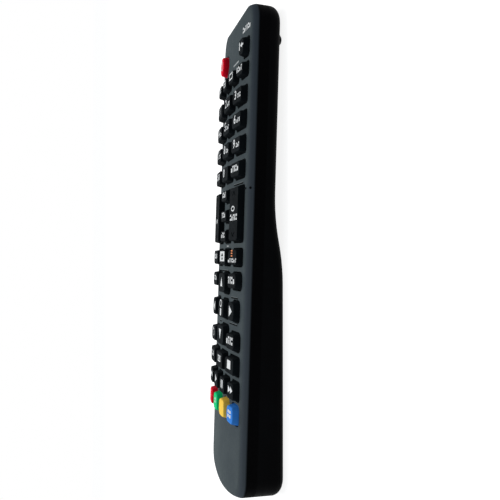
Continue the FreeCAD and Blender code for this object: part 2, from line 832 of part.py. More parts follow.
# Upper case: the shell, its key holes, the notch for the window and the locating pegs
upper_outer = upper_solid("upper_outer", "0", radius="shoulder_radius")
shoulder_chamfer = f"(shoulder_radius - wall) * {CHAMFER_SHARE}"
upper_inner = upper_solid("upper_inner", "wall", chamfer=shoulder_chamfer)
upper_shell = cut("upper_shell", upper_outer, upper_inner)
window_notch = box(
    "window_notch",
    "window_width + 2 * window_gap",
    "case_length",
    "upper_depth",
    along="case_length - wall",
    up="-upper_depth - window_top_depth",
)
board_low = f"({MAT_TOP} - mat_thickness - seat_gap - board_thickness)"
PEGS = [
    ("0", f"{TOP_ROW} + quad_key_length"),
    (f"{COLUMN_PITCH} / 2", number_row(1.5)),
    (f"-{COLUMN_PITCH} / 2", number_row(1.5)),
    ("0", f"{COLOUR_ROW} - colour_key_length"),
]
pegs = [
    cylinder(f"peg_{i}", "peg_radius", f"-({board_low}) - wall / 2", (0, 0, 1), *spot, board_low)
    for i, spot in enumerate(PEGS)
]
pierced = cut("upper_pierced", upper_shell, fuse("key_holes", holes + [window_notch]))
keep("upper_case", lean(fuse("upper_case_solid", [pierced, *pegs])))

# Infrared window: the piece of the end wall that fills the notch
window_block = box(
    "window_block",
    "window_width",
    "case_length",
    "upper_depth - window_top_depth - 2 * window_gap",
    along="case_length - wall",
    up="-upper_depth + window_gap / 2",
)
keep("infrared_window", lean(common("window_solid", upper_shell, window_block)))


def plate(name, thickness, top, along_low, along_high):
    """A flat sheet with round corners that follows the inside of the case."""
    body = doc.addObject("PartDesign::Body", name)
    sketch = body.newObject("Sketcher::SketchObject", f"{name}_outline")
    sketch.AttachmentSupport = (origin_plane(body, "XY_Plane"), "")
    sketch.MapMode = "FlatFace"
    middle = f"(({along_low}) + ({along_high})) / 2"
    sketch.setExpression("AttachmentOffset.Base.z", full(f"({top}) - ({thickness})"))
    sketch.setExpression("AttachmentOffset.Base.y", full(middle))
    width = "case_width - 2 * wall - 2 * board_edge_gap"
    rounded_rectangle(sketch, width, f"({along_high}) - ({along_low})", "corner_radius / 2")
    pad = body.newObject("PartDesign::Pad", f"{name}_pad")
    pad.Profile = sketch
    bind(pad, Length=thickness)
    return body


def peg_holes(name):
    """Clearance holes for the pegs of the upper case."""
    radius = "peg_radius + peg_hole_gap"
    bars = [
        cylinder(f"{name}_{i}", radius, "upper_depth", (0, 0, 1), *spot, "-upper_depth")
        for i, spot in enumerate(PEGS)
    ]
    return fuse(name, bars)


# Keypad mat: a silicone sheet on the board with a low dome under every key
mat_low = f"({MAT_TOP} - mat_thickness)"
mat_end = f"{BOARD_TOP} - mat_inset"
mat_sheet = plate("mat_sheet", "mat_thickness", MAT_TOP, BOARD_LOW, mat_end)
mat_domed = fuse("mat_domed", [mat_sheet, *mat_pads])
keep("keypad_mat", lean(cut("mat_solid", mat_domed, peg_holes("mat_hole"))))

# Circuit board
board_top = f"{mat_low} - seat_gap"
board_sheet = plate("board_sheet", "board_thickness", board_top, BOARD_LOW, BOARD_TOP)
keep("circuit_board", lean(cut("board_solid", board_sheet, peg_holes("board_hole"))))

# Infrared sender: a clear round body with a domed tip and a rim, on two leads that lie
# against the underside of the board
led_level = f"({board_low} - led_drop)"
led_pieces = [
    cylinder("led_body", "led_radius", "led_length", (0, 1, 0), "0", LED_ALONG, led_level),
    cylinder("led_rim", "led_rim_radius", "led_rim_length", (0, 1, 0), "0", LED_ALONG, led_level),
]
dome = doc.addObject("Part::Cone", "led_dome")
dome.Placement.Rotation = FreeCAD.Rotation(FreeCAD.Vector(0, 0, 1), FreeCAD.Vector(0, 1, 0))
bind(dome, Radius1="led_radius", Radius2="led_radius / 2", Height="led_radius / 2")
place(dome, "0", f"{LED_ALONG} + led_length", led_level)
led_pieces.append(dome)
for side in (-1, 1):
    led_pieces.append(
        box(
            f"led_lead_{side + 1}",
            "led_lead",
            f"{LED_ALONG} - {BOARD_TOP} + led_lead_hold + led_lead",
            "led_lead",
            f"{side} * led_radius / 2",
            f"({LED_ALONG} + {BOARD_TOP} + led_lead - led_lead_hold) / 2",
            f"{board_low} - led_lead",
        )
    )
keep("infrared_led", lean(fuse("led_solid", led_pieces)))

# Parts soldered to the underside of the board, each on its legs
chip_across = f"({COLUMN_PITCH} / 2)"
chip_along = f"({BOARD_TOP} - chip_inset)"
chip_pieces = [
    box(
        "chip_body",
        "chip_size",
        "chip_size",
        "chip_thickness",
        chip_across,
        chip_along,
        f"{board_low} - chip_thickness - chip_leg",
    ),
    box(
        "chip_pad",
        "chip_size / 2",
        "chip_size / 2",
        "chip_leg",
        chip_across,
        chip_along,
        f"{board_low} - chip_leg",
    ),
]
for leg in range(CHIP_LEGS):
    chip_pieces.append(
        box(
            f"chip_leg_{leg}",
            "chip_size + 2 * chip_leg_reach",
            "chip_leg",
            "2 * chip_leg",
            chip_across,
            f"{chip_along} + {leg - (CHIP_LEGS - 1) / 2} * chip_leg_pitch",
            f"{board_low} - 2 * chip_leg",
        )
    )
keep("controller_chip", lean(fuse("chip_solid", chip_pieces)))

capacitor_across = f"(-{COLUMN_PITCH})"
capacitor_along = f"({BOARD_TOP} - capacitor_inset)"
capacitor_pieces = [
    cylinder(
        "capacitor_can",
        "capacitor_radius",
        "capacitor_length",
        (1, 0, 0),
        capacitor_across,
        capacitor_along,
        f"{board_low} - capacitor_radius",
    ),
    box(
        "capacitor_lead",
        "led_lead * 2",
        "capacitor_lead",
        "capacitor_radius",
        f"{capacitor_across} - led_lead / 2",
        capacitor_along,
        f"{board_low} - capacitor_radius",
    ),
]
keep("capacitor", lean(fuse("capacitor_solid", capacitor_pieces)))

resonator_across = f"(-{COLUMN_PITCH} / 2)"
resonator_along = f"({BOARD_TOP} - resonator_inset)"
resonator_pieces = [
    box(
        "resonator_block",
        "resonator_width",
        "resonator_thickness",
        "resonator_height",
        resonator_across,
        resonator_along,
        f"{board_low} - resonator_height - led_lead",
    ),
]
for side in (-1, 1):
    resonator_pieces.append(
        box(
            f"resonator_lead_{side + 1}",
            "led_lead",
            "led_lead",
            "led_lead * 2",
            f"{resonator_across} + {side} * resonator_width / 4",
            resonator_along,
            f"{board_low} - led_lead * 2",
        )
    )
keep("resonator", lean(fuse("resonator_solid", resonator_pieces)))

# Lower case. What serves the battery bay is drawn standing on the table, like the bay.
lower_outer = lean(lower_solid("lower_outer", "0", "-upper_depth", radius="back_edge_radius"))
back_chamfer = f"(back_edge_radius - wall) * {CHAMFER_SHARE}"
lower_inner = lean(lower_solid("lower_inner", "wall", "-upper_depth + wall", chamfer=back_chamfer))
lower_shell = cut("lower_shell", lower_outer, lower_inner)

bay_length = "(cell_length + spring_length + 2 * contact_thickness)"
bay_width = "(cell_pitch + 2 * cell_radius + 2 * bay_side_gap)"
bay_along = f"({BAY_TOP} - {bay_length} / 2)"
door_roof = "(door_depth + door_gap)"

door_zone_length = f"(case_length + {DOOR_TOP})"
door_zone = box(
    "door_zone",
    "case_width * 2",
    door_zone_length,
    f"{door_roof} + wall",
    along=f"{DOOR_TOP} - {door_zone_length} / 2",
    up="-wall",
)
floor_length = f"(case_length / 2 + {DOOR_TOP} + wall)"
floor_slab = box(
    "floor_slab",
    "case_width * 2",
    floor_length,
    "door_floor",
    along=f"{DOOR_TOP} + wall - {floor_length} / 2",
    up=door_roof,
)
step_slab = box(
    "step_slab",
    "case_width * 2",
    "wall",
    f"{door_roof} + door_floor",
    along=f"{DOOR_TOP} + wall / 2",
)
slabs = common("bay_slabs", lower_outer, fuse("slabs", [floor_slab, step_slab]))
bay_walls = box(
    "bay_walls",
    f"{bay_width} + 2 * bay_wall",
    f"{bay_length} + 2 * bay_wall",
    f"bay_height - {door_roof}",
    along=bay_along,
    up=door_roof,
)
bay_room = box("bay_room", bay_width, bay_length, "bay_height * 2", along=bay_along)

lip_low = "(-upper_depth - lip_height)"
lip_outside = "wall + lip_gap"
lip_inside = "wall + lip_gap + lip_thickness"
lip_post = outline_prism("lip_post", lip_outside, lip_low, "2 * lip_height")
lip_foot = outline_prism("lip_foot", "wall / 2", lip_low, "lip_height")
lip_hollow = outline_prism("lip_hollow", lip_inside, f"{lip_low} - lip_height", "4 * lip_height")
lip = lean(cut("lip", fuse("lip_full", [lip_post, lip_foot]), lip_hollow))

post_across = "(case_width / 2 - post_margin)"
POSTS = [f"{BAY_TOP} + post_from_bay", f"{BOARD_TOP} - post_inset"]
post_tools = []
for number, along in enumerate(POSTS):
    for side in (-1, 1):
        post_tools.append(
            box(
                f"post_{number}_{side + 1}",
                "post_size",
                "post_size",
                f"rest_depth * 2 + {board_low} - seat_gap",
                f"{side} * {post_across}",
                along,
                "-rest_depth * 2",
            )
        )
posts = common("posts", lean(fuse("post_blocks", post_tools)), lower_outer)

foot_along = from_nose("foot_reach")
feet = []
for side in (-1, 1):
    across = f"{side} * (case_width / 2 - foot_margin)"
    tip = doc.addObject("Part::Cone", f"foot_tip_{side + 1}")
    bind(tip, Radius1="foot_tip_radius", Radius2="foot_shoulder_radius", Height="foot_tip_height")
    place(tip, across, foot_along, "0")
    root = doc.addObject("Part::Cone", f"foot_root_{side + 1}")
    bind(root, Radius1="foot_shoulder_radius", Radius2="foot_root_radius", Height="foot_root_height")
    place(root, across, foot_along, "foot_tip_height")
    feet += [tip, root]

rail_low_end = "(-case_length / 2 + wall)"
rail_top_end = f"({DOOR_TOP} - wall)"
rail_length = f"({rail_top_end} - {rail_low_end})"
rail_middle = f"(({rail_top_end} + {rail_low_end}) / 2)"
rib_low = "(rail_height - rail_rib)"
rail_across = "(case_width / 2 - rail_margin)"
door_rails = []
rail_slots = []
for side in (-1, 1):
    across = f"{side} * {rail_across}"
    rib_across = f"{side} * ({rail_across} + rail_rib / 2)"
    door_rails += [
        box(
            f"rail_{side + 1}",
            "rail_thickness",
            rail_length,
            "rail_height - door_skin / 2",
            across,
            rail_middle,
            "door_skin / 2",
        ),
        box(
            f"rib_{side + 1}",
            "rail_thickness + rail_rib",
            rail_length,
            "rail_rib",
            rib_across,
            rail_middle,
            rib_low,
        ),
    ]
    slot_length = f"({rail_length} + case_length)"
    slot_along = f"({rail_top_end} + rail_gap - {slot_length} / 2)"
    rail_slots += [
        box(
            f"rail_slot_{side + 1}",
            "rail_thickness + 2 * rail_gap",
            slot_length,
            f"rail_height + rail_gap - {door_roof} + wall",
            across,
            slot_along,
            f"{door_roof} - wall",
        ),
        box(
            f"rib_slot_{side + 1}",
            "rail_thickness + rail_rib + 2 * rail_gap",
            slot_length,
            "rail_rib + 2 * rail_gap",
            rib_across,
            slot_along,
            f"{rib_low} - rail_gap",
        ),
    ]

tabs = []
tab_slots = []
for side in (-1, 1):
    across = f"{side} * tab_across / 2"
    tabs.append(
        box(
            f"tab_{side + 1}",
            "tab_width",
            "2 * tab_length",
            "door_skin - tab_cover",
            across,
            DOOR_TOP,
            "tab_cover",
        )
    )
    tab_slots.append(
        box(
            f"tab_slot_{side + 1}",
            "tab_width + 2 * door_gap",
            "2 * tab_length + 2 * door_gap",
            "door_skin - tab_cover + 2 * door_gap",
            across,
            DOOR_TOP,
            "tab_cover - door_gap",
        )
    )

filled = fuse("lower_filled", [lower_shell, slabs, bay_walls, lip, posts, *feet])
lower_waste = fuse("lower_waste", [door_zone, bay_room, *rail_slots, *tab_slots])
lower_open = cut("lower_open", filled, lower_waste)

# The ridge between the cells ends short of the contact plates, and a web between the
# plates carries it from wall to wall
ridge_height = f"door_skin + cell_gap + cell_radius - {door_roof}"
ridge_length = f"{bay_length} - 2 * (contact_thickness + seat_gap)"
ridge_block = box("ridge_block", "cell_pitch", ridge_length, ridge_height, "0", bay_along, door_roof)
web_width = "cell_pitch - contact_size - 2 * cell_gap"
ridge_web = box("ridge_web", web_width, bay_length, ridge_height, "0", bay_along, door_roof)
cell_level = "(door_skin + cell_gap + cell_radius)"
cell_troughs = [
    cylinder(
        f"trough_{side + 1}",
        "cell_radius + cell_gap",
        "case_length",
        (0, 1, 0),
        f"{side} * cell_pitch / 2",
        "-case_length",
        cell_level,
    )
    for side in (-1, 1)
]
ridge_blank = fuse("ridge_blank", [ridge_block, ridge_web])
ridge = cut("ridge", ridge_blank, fuse("troughs", cell_troughs))
keep("lower_case", fuse("lower_case_solid", [lower_open, ridge]))

# Battery door: the skin under the bay with its edge, rails at both sides, two tabs that
# reach behind the skin of the case and grip grooves for the thumb
door_length = f"(case_length + {DOOR_TOP} - door_gap)"
door_block = box(
    "door_block",
    "case_width * 2",
    door_length,
    "door_depth + wall",
    along=f"{DOOR_TOP} - door_gap - {door_length} / 2",
    up="-wall",
)
door_blank = fuse("door_blank", [door_block, *door_rails, *tabs])
door_slice = common("door_slice", lower_outer, door_blank)
recess_length = f"(case_length / 2 + {DOOR_TOP} - recess_end)"
door_recess = box(
    "door_recess",
    f"2 * {rail_across} - rail_thickness",
    recess_length,
    "door_depth",
    along=f"{DOOR_TOP} - {recess_length} / 2",
    up="door_skin",
)
grooves = [
    box(
        f"groove_{i}",
        "grip_width",
        "grip_groove",
        "2 * grip_depth",
        along=f"grip_reach - case_length / 2 + {i - (GRIP_GROOVES - 1) / 2} * grip_pitch",
        up="-grip_depth",
    )
    for i in range(GRIP_GROOVES)
]
door_waste = fuse("door_waste", [door_recess, *grooves])
keep("battery_door", cut("door_solid", door_slice, door_waste))

# Battery cells, laid opposite ways, each with its spring and contact plates
high_plate = f"({BAY_TOP} - contact_thickness)"
low_plate = f"({BAY_TOP} - {bay_length} + contact_thickness)"
plates = []
for number, side in ((1, 1), (2, -1)):
    across = f"{side} * cell_pitch / 2"
    far = high_plate if side > 0 else low_plate
    body = cylinder(
        f"cell_{number}",
        "cell_radius",
        "cell_length - cell_nub_height",
        (0, -side, 0),
        across,
        f"{far} - {side} * cell_nub_height",
        cell_level,
    )
    nub = cylinder(
        f"cell_nub_{number}",
        "cell_nub_radius",
        "cell_nub_height * 2",
        (0, -side, 0),
        across,
        far,
        cell_level,
    )
    keep(f"battery_{number}", fuse(f"cell_solid_{number}", [body, nub]))
    for end in (1, -1):
        middle = f"({bay_along} + {end} * ({bay_length} - contact_thickness) / 2)"
        plates.append(
            box(
                f"contact_{number}_{end + 1}",
                "contact_size",
                "contact_thickness",
                "contact_size",
                across,
                middle,
                f"{cell_level} - contact_size / 2",
            )
        )
contact_group = doc.addObject("Part::Compound", "contact_group")
contact_group.Links = plates
keep("battery_contact_plates", contact_group)


def spring_coil(across, base, direction):
    """A coil of square wire on quarter-turn arcs, from its contact plate to the cell."""
    radius = size("spring_radius - spring_wire / 2")
    wire = size("spring_wire")
    height = size("spring_length - seat_gap") - wire
    turns = size("spring_turns")
    level = size(cell_level)
    steps = int(round(turns * 4))

    def point(step):
        angle = 2 * math.pi * turns * step / steps
        rise = wire / 2 + height * step / steps
        x = across + radius * math.cos(angle)
        z = level + radius * math.sin(angle)
        return FreeCAD.Vector(x, base + direction * rise, z)

    arcs = [Part.Arc(point(i), point(i + 1), point(i + 2)).toShape() for i in range(0, steps, 2)]
    path = Part.Wire(arcs)
    samples = path.discretize(Number=SPRING_SAMPLES)
    half_turn = int(len(samples) / turns / 2)
    apart = [
        (first - second).Length
        for number, first in enumerate(samples)
        for second in samples[number + half_turn :]
    ]
    print(f"spring: least gap between turns {min(apart) - wire:.2f} mm")
    half = wire / 2
    start = point(0)
    corners = [
        start + FreeCAD.Vector(x * half, y * half, 0)
        for x, y in ((1, 1), (-1, 1), (-1, -1), (1, -1), (1, 1))
    ]
    profile = Part.makePolygon(corners)
    return path.makePipeShell([profile], True, False)


springs = doc.addObject("Part::Feature", "springs")
pitch = size("cell_pitch") / 2
springs.Shape = Part.makeCompound(
    [spring_coil(pitch, size(low_plate), 1), spring_coil(-pitch, size(high_plate), -1)]
)
keep("battery_springs", springs)

doc.recompute()

failed = [thing.Label for thing in doc.Objects if {"Invalid", "Error"} & set(thing.State)]
if failed:
    raise RuntimeError("these did not build: " + ", ".join(failed))
for node, thing in parts.items():
    if thing.Shape.isNull() or not thing.Shape.isValid():
        raise RuntimeError(f"{node} has no valid shape")

os.makedirs("parts", exist_ok=True)
for node, thing in parts.items():
    thing.Shape.exportStep(f"parts/{node}.step")
print(f"{len(parts)} sub-parts written")
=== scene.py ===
"""Looks of the television remote control: materials for every piece of the model, the
printed legends on its keys and case, the floor, the light and the camera.

Lengths are metres, in the same frame as the model: Y runs along the remote towards its
infrared end, X across it and Z up from the table.
"""
import bpy
import math
from mathutils import Matrix, Vector


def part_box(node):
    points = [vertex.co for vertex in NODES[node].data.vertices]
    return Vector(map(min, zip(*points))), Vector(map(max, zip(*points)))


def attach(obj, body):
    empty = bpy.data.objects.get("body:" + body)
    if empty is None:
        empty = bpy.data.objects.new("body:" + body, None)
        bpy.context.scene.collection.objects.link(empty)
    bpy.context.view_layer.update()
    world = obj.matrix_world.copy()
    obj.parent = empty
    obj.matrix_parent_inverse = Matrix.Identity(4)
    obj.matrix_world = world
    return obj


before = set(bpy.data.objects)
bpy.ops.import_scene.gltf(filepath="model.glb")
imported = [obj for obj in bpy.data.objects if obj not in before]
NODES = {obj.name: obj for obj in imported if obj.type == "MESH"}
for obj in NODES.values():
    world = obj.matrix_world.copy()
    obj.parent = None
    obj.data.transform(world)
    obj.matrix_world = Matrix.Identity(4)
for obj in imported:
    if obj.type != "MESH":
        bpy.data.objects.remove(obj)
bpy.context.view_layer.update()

MM = 0.001

# How the remote lies on the table: the lean of its key face, and in millimetres the face's
# height in the case's own frame and how far that frame is shifted along Y
LEAN = math.radians(1.75)
FACE_HEIGHT = 16.2
FACE_SHIFT = -0.15

# Heights in millimetres above the leaning back: where the side's near-black gives way to the
# charcoal, and where the shoulder's bluer band, a painted sheen, ends at the key face
SIDE_BLACK_EDGE = (12.35, 13.0)
SHOULDER_SHEEN_END = (14.3, 14.9)
# The painted sheen: over this distance in millimetres each side of the middle, the face and
# shoulder go from lighter at the battery end to darker at the infrared end
SHEEN_REACH = 90.0

# Roundings of the keys, millimetres. One deeper than a key's stem below its flange would
# reach into the mat, so the keys with short stems have smaller ones.
KEY_ROUNDING = 0.25
SHORT_STEM_ROUNDING = 0.18
ROCKER_ROUNDING = 0.1
SHORT_STEMS = ("key_source", "key_subtitle", "key_sleep", "key_rewind", "key_forward")
PILLOWS = ("key_power", "key_red", "key_green", "key_yellow", "key_blue")
PILLOW_GRID = 0.22
PILLOW_STEPS = 12

# Printed marks, millimetres: how far each starts above its surface, and its thickness
KEY_PRINT = (0.012, 0.03)
CASE_PRINT = (0.03, 0.05)
LEGEND_RISE = 0.45

# The built-in type: a figure's height and its extra weight as shares of the type's size
# and of the figure's height
FIGURE_SHARE = 0.72
FIGURE_WEIGHT = 0.018

# The share of a cell's length that its copper band covers
CELL_BAND = 0.28


def linear(red, green, blue):
    """A colour given in screen values from 0 to 255, as the shader's linear values."""

    def channel(value):
        share = value / 255
        return share / 12.92 if share <= 0.04045 else ((share + 0.055) / 1.055) ** 2.4

    return (channel(red), channel(green), channel(blue), 1.0)


# Materials

def node(tree, kind, **settings):
    made = tree.nodes.new(kind)
    for name, value in settings.items():
        setattr(made, name, value)
    return made


def noise(tree, coordinates, scale, detail=4.0):
    texture = node(tree, "ShaderNodeTexNoise")
    texture.inputs["Scale"].default_value = scale
    texture.inputs["Detail"].default_value = detail
    tree.links.new(coordinates, texture.inputs["Vector"])
    return texture.outputs["Fac"]


def ramp(tree, source, low, high, start, end):
    """Spreads the values of a texture between low and high over a new range."""
    spread = node(tree, "ShaderNodeMapRange")
    for name, value in (("From Min", low), ("From Max", high), ("To Min", start), ("To Max", end)):
        spread.inputs[name].default_value = value
    tree.links.new(source, spread.inputs["Value"])
    return spread.outputs["Result"]


def blend(tree, share, first, second):
    """Mixes two colours, each a value or the output of another node."""
    mixer = node(tree, "ShaderNodeMix", data_type="RGBA")
    tree.links.new(share, mixer.inputs["Factor"])
    for socket, colour in ((mixer.inputs[6], first), (mixer.inputs[7], second)):
        if isinstance(colour, tuple):
            socket.default_value = colour
        else:
            tree.links.new(colour, socket)
    return mixer.outputs[2]


def start_material(name, specular, metallic=0.0):
    """A new material with its shader, and the place in metres to drive its textures."""
    material = bpy.data.materials.new(name)
    material.use_nodes = True
    tree = material.node_tree
    shader = tree.nodes["Principled BSDF"]
    shader.inputs["Specular IOR Level"].default_value = specular
    shader.inputs["Metallic"].default_value = metallic
    coordinates = node(tree, "ShaderNodeTexCoord").outputs["Object"]
    return material, tree, shader, coordinates


def grain(tree, shader, coordinates, scale, depth, strength=0.6):
    """A fine moulded or etched texture as bump."""
    bump = node(tree, "ShaderNodeBump")
    bump.inputs["Strength"].default_value = strength
    bump.inputs["Distance"].default_value = depth
    tree.links.new(noise(tree, coordinates, scale, 5.0), bump.inputs["Height"])
    tree.links.new(bump.outputs["Normal"], shader.inputs["Normal"])


def moulded(
    name, dark, light, rough, scale, depth, specular=0.3, patch=90, metallic=0.0, milky=0.0
):
    """Moulded plastic, rubber or metal: a mottled colour, uneven gloss and a fine grain.

    The colours are screen values, rough is the range of the roughness, scale and depth are
    the grain's, patch is the mottle's scale, and milky lets some light into the material."""
    material, tree, shader, coordinates = start_material(name, specular, metallic)
    mottle = ramp(tree, noise(tree, coordinates, patch), 0.3, 0.7, 0.0, 1.0)
    colour = blend(tree, mottle, linear(*dark), linear(*light))
    tree.links.new(colour, shader.inputs["Base Color"])
    gloss = ramp(tree, noise(tree, coordinates, patch * 7), 0.3, 0.7, rough[0], rough[1])
    tree.links.new(gloss, shader.inputs["Roughness"])
    if milky:
        shader.inputs["Subsurface Weight"].default_value = milky
        shader.inputs["Subsurface Radius"].default_value = (1.0, 0.8, 0.7)
        shader.inputs["Subsurface Scale"].default_value = 0.0025
    grain(tree, shader, coordinates, scale, depth)
    return material


def rubber(name, dark, light, rough=(0.56, 0.66), specular=0.02, milky=0.0):
    """The satin rubber of the keys in one colour."""
    return moulded(name, dark, light, rough, 3600, 8e-6, specular, milky=milky)


def ink(name, dark, light, rough=(0.55, 0.7), specular=0.2, patch=500):
    """Printed ink in one colour, with hardly any grain."""
    return moulded(name, dark, light, rough, 4200, 4e-6, specular, patch)


def case_top_material():
    """Charcoal face with a painted sheen along it and on the shoulder band; near-black side."""
    material, tree, shader, coordinates = start_material("case_top_paint_and_sheen", 0.02)
    axes = node(tree, "ShaderNodeSeparateXYZ")
    tree.links.new(coordinates, axes.inputs["Vector"])

    def math_node(operation, first, second):
        made = node(tree, "ShaderNodeMath", operation=operation)
        for socket, value in zip(made.inputs, (first, second)):
            if isinstance(value, float):
                socket.default_value = value
            else:
                tree.links.new(value, socket)
        return made.outputs[0]

    tilt = math_node("MULTIPLY", axes.outputs["Y"], math.tan(LEAN))
    height = math_node("ADD", axes.outputs["Z"], tilt)
    # Below this height the side of the case is near-black
    painted = ramp(tree, height, SIDE_BLACK_EDGE[0] * MM, SIDE_BLACK_EDGE[1] * MM, 0.0, 1.0)
    # Below this height the shoulder is a bluer band: a painted sheen
    level = ramp(tree, height, SHOULDER_SHEEN_END[0] * MM, SHOULDER_SHEEN_END[1] * MM, 0.0, 1.0)
    speckle = ramp(tree, noise(tree, coordinates, 3200, 2.0), 0.35, 0.65, 0.0, 1.0)
    cloud = ramp(tree, noise(tree, coordinates, 45), 0.3, 0.7, 0.0, 1.0)
    # Painted sheen: lighter towards the battery end, darker towards the infrared end
    along = ramp(tree, axes.outputs["Y"], -SHEEN_REACH * MM, SHEEN_REACH * MM, 0.0, 1.0)
    face = blend(tree, along, linear(88, 96, 97), linear(54, 63, 67))
    flakes = blend(tree, speckle, face, linear(70, 79, 82))
    clouded = blend(tree, cloud, flakes, linear(66, 74, 78))
    # The shoulder band's colours, a painted sheen
    shoulder = blend(tree, along, linear(74, 81, 88), linear(58, 66, 74))
    with_shoulder_sheen = blend(tree, level, shoulder, clouded)
    whole = blend(tree, painted, linear(2, 2, 3), with_shoulder_sheen)
    tree.links.new(whole, shader.inputs["Base Color"])
    gloss = ramp(tree, noise(tree, coordinates, 700), 0.3, 0.7, 0.62, 0.74)
    tree.links.new(gloss, shader.inputs["Roughness"])
    grain(tree, shader, coordinates, 2800, 0.9e-5, 0.5)
    return material


def cell_sleeve(name, side):
    """A battery's dark sleeve with a copper band at its positive end: side 1 is the
    infrared end of the remote, side -1 the battery end."""
    material, tree, shader, coordinates = start_material(f"cell_sleeve_{name}", 0.5)
    low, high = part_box(name)
    tip = high.y if side > 0 else low.y
    start = tip - side * CELL_BAND * (high.y - low.y)
    axes = node(tree, "ShaderNodeSeparateXYZ")
    tree.links.new(coordinates, axes.inputs["Vector"])
    band = ramp(tree, axes.outputs["Y"], start, start + side * 0.2 * MM, 0.0, 1.0)
    worn = ramp(tree, noise(tree, coordinates, 300), 0.3, 0.7, 0.0, 1.0)
    dark = blend(tree, worn, linear(34, 38, 44), linear(44, 48, 54))
    copper = blend(tree, worn, linear(176, 120, 66), linear(192, 134, 76))
    tree.links.new(blend(tree, band, dark, copper), shader.inputs["Base Color"])
    gloss = ramp(tree, noise(tree, coordinates, 900), 0.3, 0.7, 0.26, 0.36)
    tree.links.new(gloss, shader.inputs["Roughness"])
    grain(tree, shader, coordinates, 2000, 5e-6, 0.3)
    return material


MATERIALS = {
    "case_top": case_top_material(),
    "case_back": moulded(
        "case_back_texture", (3, 3, 4), (6, 7, 9), (0.44, 0.54), 3000, 1.6e-5, specular=0.02
    ),
    "window": moulded("window_tint", (12, 8, 14), (18, 10, 18), (0.12, 0.18), 900, 2e-6),
    "key_black": rubber("key_rubber", (12, 16, 19), (18, 23, 26), (0.66, 0.78), 0.015),
    "key_red": rubber("key_red_rubber", (206, 10, 36), (220, 18, 44), milky=0.6),
    "key_green": rubber("key_green_rubber", (12, 204, 122), (22, 216, 134)),
    "key_yellow": rubber("key_yellow_rubber", (255, 206, 76), (255, 213, 90)),
    "key_blue": rubber("key_blue_rubber", (48, 122, 214), (60, 134, 224)),
    "silicone": moulded("silicone", (86, 88, 92), (98, 100, 104), (0.62, 0.74), 1500, 6e-6),
    "board": moulded(
        "solder_mask", (18, 84, 44), (30, 104, 56), (0.3, 0.42), 1200, 1e-5, 0.5, patch=420
    ),
    "led": moulded(
        "led_resin", (96, 84, 104), (116, 104, 124), (0.08, 0.14), 500, 2e-6, specular=0.5
    ),
    "spring_steel": moulded(
        "spring_steel", (176, 178, 180), (206, 207, 208), (0.2, 0.34), 1800, 6e-6, 0.5, 300, 1.0
    ),
    "contact": moulded(
        "plated_contact", (190, 186, 172), (216, 210, 196), (0.24, 0.4), 1800, 6e-6, 0.5, 240, 1.0
    ),
    "chip": moulded(
        "chip_epoxy", (22, 23, 25), (30, 31, 33), (0.5, 0.66), 3600, 2e-5, specular=0.4
    ),
    "capacitor": moulded(
        "capacitor_sleeve", (24, 34, 70), (30, 42, 82), (0.3, 0.4), 1200, 5e-6, specular=0.5
    ),
    "resonator": moulded(
        "resonator_can", (170, 172, 174), (200, 202, 204), (0.28, 0.42), 1500, 8e-6, 0.5, 300, 1.0
    ),
}
INK_WHITE = ink("ink_white", (214, 217, 218), (232, 234, 235))
INK_GREY = ink("ink_grey", (150, 155, 158), (172, 176, 178))
INK_ORANGE = ink("ink_orange", (224, 128, 66), (236, 142, 80))
INK_DARK = ink("ink_dark", (5, 6, 7), (9, 10, 12), (0.7, 0.8), 0.01)
# A paler grey for the painted highlight along the edge of each thin dark line
EDGE_HIGHLIGHT = ink("painted_edge_highlight", (104, 112, 114), (116, 124, 126), (0.7, 0.8), 0.02)
INK_PLATE = ink("ink_plate", (206, 210, 210), (222, 225, 225), (0.5, 0.64), patch=200)

# The white of the home key is printed on it, so the key itself is of black rubber
for name, piece in NODES.items():
    slot = piece.data.materials[0].name.split(".")[0]
    if slot == "battery":
        finish = cell_sleeve(name, 1 if name == "battery_1" else -1)
    else:
        finish = MATERIALS["key_black" if slot == "key_white" else slot]
    piece.data.materials.clear()
    piece.data.materials.append(finish)


# Roundings of the keys

def round_edges(piece, width):
    """Rounds the sharp edges of a moulded piece by a small width."""
    weld = piece.modifiers.new("weld", "WELD")
    weld.merge_threshold = 1e-7
    bevel = piece.modifiers.new("bevel", "BEVEL")
    bevel.width = width
    bevel.segments = 3
    bevel.limit_method = "ANGLE"
    bevel.angle_limit = math.radians(25)
    bevel.harden_normals = True
    bevel.use_clamp_overlap = False


def soften(piece, grid, steps):
    """Rounds every edge of a small rubber piece to a pillow."""
    even = piece.modifiers.new("even", "REMESH")
    even.mode = "VOXEL"
    even.voxel_size = grid
    even.use_smooth_shade = True
    smooth = piece.modifiers.new("smooth", "SMOOTH")
    smooth.factor = 0.5
    smooth.iterations = steps


for name, piece in NODES.items():
    if name in PILLOWS:
        soften(piece, PILLOW_GRID * MM, PILLOW_STEPS)
    elif name.startswith("rocker_"):
        round_edges(piece, ROCKER_ROUNDING * MM)
    elif name.startswith("key_"):
        width = SHORT_STEM_ROUNDING if name in SHORT_STEMS else KEY_ROUNDING
        round_edges(piece, width * MM)


# Legends: flat marks a few hundredths of a millimetre thick on a key or on the case

